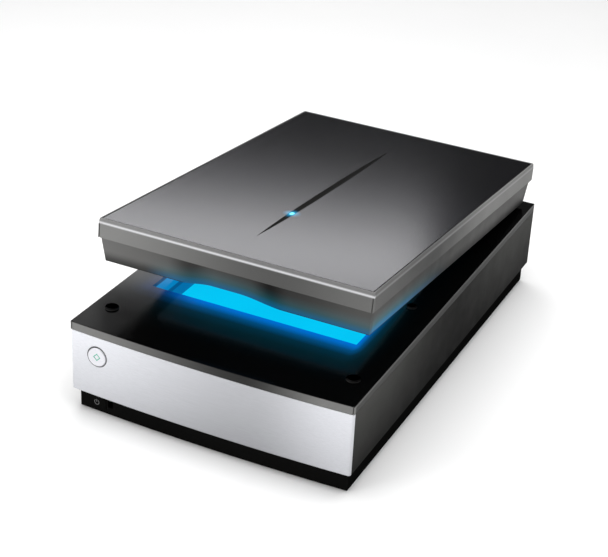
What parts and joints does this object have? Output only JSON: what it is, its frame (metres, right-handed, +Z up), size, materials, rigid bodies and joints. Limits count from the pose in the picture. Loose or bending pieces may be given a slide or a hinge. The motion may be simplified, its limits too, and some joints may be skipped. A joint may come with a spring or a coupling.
{
  "type": "flatbed photo scanner",
  "caption": "Flatbed photo scanner with a silver front, a glossy black bed with a lit document glass, and a thick hinged lid that holds a film-scanning light unit.",
  "frame": {"origin": "middle of the footprint on the table", "axes": "+X to the right seen from the front, +Y from the front panel to the back, +Z up"},
  "size_m": [0.308, 0.5092, 0.1969],
  "materials": {
    "plinth_black": "fine-grained moulded black",
    "gloss_black": "high gloss, faint dust and hairline marks",
    "gunmetal_skin": "satin dark metallic paint on plastic",
    "silver_front": "brushed sideways, bright satin",
    "rubber_black": "soft matte",
    "screw_black": "black oxide",
    "clear_glass": "polished plate",
    "print_dark": "dark printed bars",
    "white_film": "matte white",
    "button_silver": "satin silver",
    "ring_dark": "smooth dark grey",
    "mark_green": "translucent green",
    "circuit_green": "solder mask",
    "circuit_brown": "phenolic board",
    "steel_bright": "ground and polished",
    "steel_sheet": "zinc-plated sheet",
    "brass_bush": "sintered bronze",
    "nylon_white": "natural nylon",
    "inner_black": "light-absorbing matte black",
    "mirror": "front-surface mirror",
    "lens_black": "anodised barrel",
    "belt_black": "moulded belt",
    "light_cyan": "lit diffuser bar",
    "lid_rim": "satin grey metallic paint on plastic",
    "lid_panel": "satin dark metallic paint on plastic",
    "tray_grey": "fine-grained moulded grey",
    "slit_black": "smoked",
    "light_blue": "lit indicator",
    "milk_glass": "opal diffuser"
  },
  "bodies": {
    "base": {"lower_case": "plinth_black", "feet": "rubber_black", "top_frame": "gloss_black", "side_panel_left": "gunmetal_skin", "side_panel_right": "gunmetal_skin", "front_panel": "silver_front", "rear_panel": "plinth_black", "case_screws": "screw_black", "bumpers": "rubber_black", "document_glass": "clear_glass", "scale_strip": "print_dark", "white_reference": "white_film", "button_ring": "ring_dark", "button_switches": "circuit_green", "guide_rod": "steel_bright", "rod_clips": "inner_black", "side_rail": "inner_black", "drive_belt": "belt_black", "drive_motor": "steel_sheet", "motor_bracket": "steel_sheet", "idler_bracket": "steel_sheet", "main_board": "circuit_green", "power_supply": "circuit_brown", "power_inlet": "inner_black", "usb_socket": "steel_bright", "lid_socket": "inner_black", "hinge_guides": "inner_black"},
    "start_key": {"start_button": "button_silver", "start_mark": "mark_green"},
    "power_key": {"power_button": "plinth_black"},
    "lock_slider": {"transport_lock": "tray_grey"},
    "scan_carriage": {"carriage_housing": "inner_black", "carriage_cover": "inner_black", "carriage_bushes": "brass_bush", "carriage_slider": "nylon_white", "light_bars": "light_cyan", "mirrors": "mirror", "lens_wide": "lens_black", "lens_fine": "lens_black", "sensor_board": "circuit_green"},
    "belt_driver": {"drive_pulley": "nylon_white"},
    "belt_idler": {"idler_pulley": "nylon_white"},
    "hinge_lift": {"hinge_posts": "plinth_black", "hinge_pins": "steel_bright"},
    "lid": {"hinge_brackets": "steel_sheet", "lid_frame": "lid_rim", "lid_top_panel": "lid_panel", "slit_insert": "slit_black", "slit_light": "light_blue", "lid_tray": "tray_grey", "lid_screws": "screw_black", "film_window": "milk_glass", "film_rods": "steel_bright", "film_belt": "belt_black", "film_motor": "steel_sheet"},
    "mat": {"document_mat": "white_film"},
    "film_slide": {"film_carriage": "inner_black", "film_lamp": "light_cyan"},
    "film_driver": {"film_drive_pulley": "nylon_white"},
    "film_idler": {"film_idler_pulley": "nylon_white"}
  },
  "joints": [
    {"name": "lid_rise", "type": "slide", "parent": "base", "child": "hinge_lift", "axis": [0, 0, 1], "range_m": [0, 0.014]},
    {"name": "lid_hinge", "type": "hinge", "parent": "hinge_lift", "child": "lid", "pos_m": [0, 0.236, 0.113], "axis": [-1, 0, 0], "range_deg": [-5.7, 65]},
    {"name": "start_press", "type": "slide", "parent": "base", "child": "start_key", "axis": [0, 1, 0], "range_m": [0, 0.0012], "stiffness_N_per_m": 900, "springref_m": -0.0003},
    {"name": "power_press", "type": "slide", "parent": "base", "child": "power_key", "axis": [0, 1, 0], "range_m": [0, 0.0015], "stiffness_N_per_m": 900, "springref_m": -0.0003},
    {"name": "lock_slide", "type": "slide", "parent": "base", "child": "lock_slider", "axis": [1, 0, 0], "range_m": [0, 0.01]},
    {"name": "scan_travel", "type": "slide", "parent": "base", "child": "scan_carriage", "axis": [0, 1, 0], "range_m": [0, 0.3]},
    {"name": "belt_driver_turn", "type": "hinge", "parent": "base", "child": "belt_driver", "pos_m": [-0.13, 0.214, 0.07], "axis": [0, 0, 1], "range_deg": [-5, 2575]},
    {"name": "belt_idler_turn", "type": "hinge", "parent": "base", "child": "belt_idler", "pos_m": [-0.13, -0.214, 0.07], "axis": [0, 0, 1], "range_deg": [-5, 2575]},
    {"name": "mat_slide", "type": "slide", "parent": "lid", "child": "mat", "axis": [0, -0.9951, 0.0993], "range_m": [0, 0.036]},
    {"name": "film_travel", "type": "slide", "parent": "lid", "child": "film_slide", "axis": [0, 0.9951, -0.0993], "range_m": [0, 0.31]},
    {"name": "film_driver_turn", "type": "hinge", "parent": "lid", "child": "film_driver", "pos_m": [0.122, 0.1857, 0.12254], "axis": [0, 0.0993, 0.9951], "range_deg": [-3182, 5]},
    {"name": "film_idler_turn", "type": "hinge", "parent": "lid", "child": "film_idler", "pos_m": [0.122, -0.18148, 0.15919], "axis": [0, 0.0993, 0.9951], "range_deg": [-3182, 5]}
  ],
  "couplings": [
    {"joint": "belt_driver_turn", "follows": "scan_travel", "rad_per_m": 149.25},
    {"joint": "belt_idler_turn", "follows": "scan_travel", "rad_per_m": 149.25},
    {"joint": "film_driver_turn", "follows": "film_travel", "rad_per_m": -178.57},
    {"joint": "film_idler_turn", "follows": "film_travel", "rad_per_m": -178.57}
  ]
}
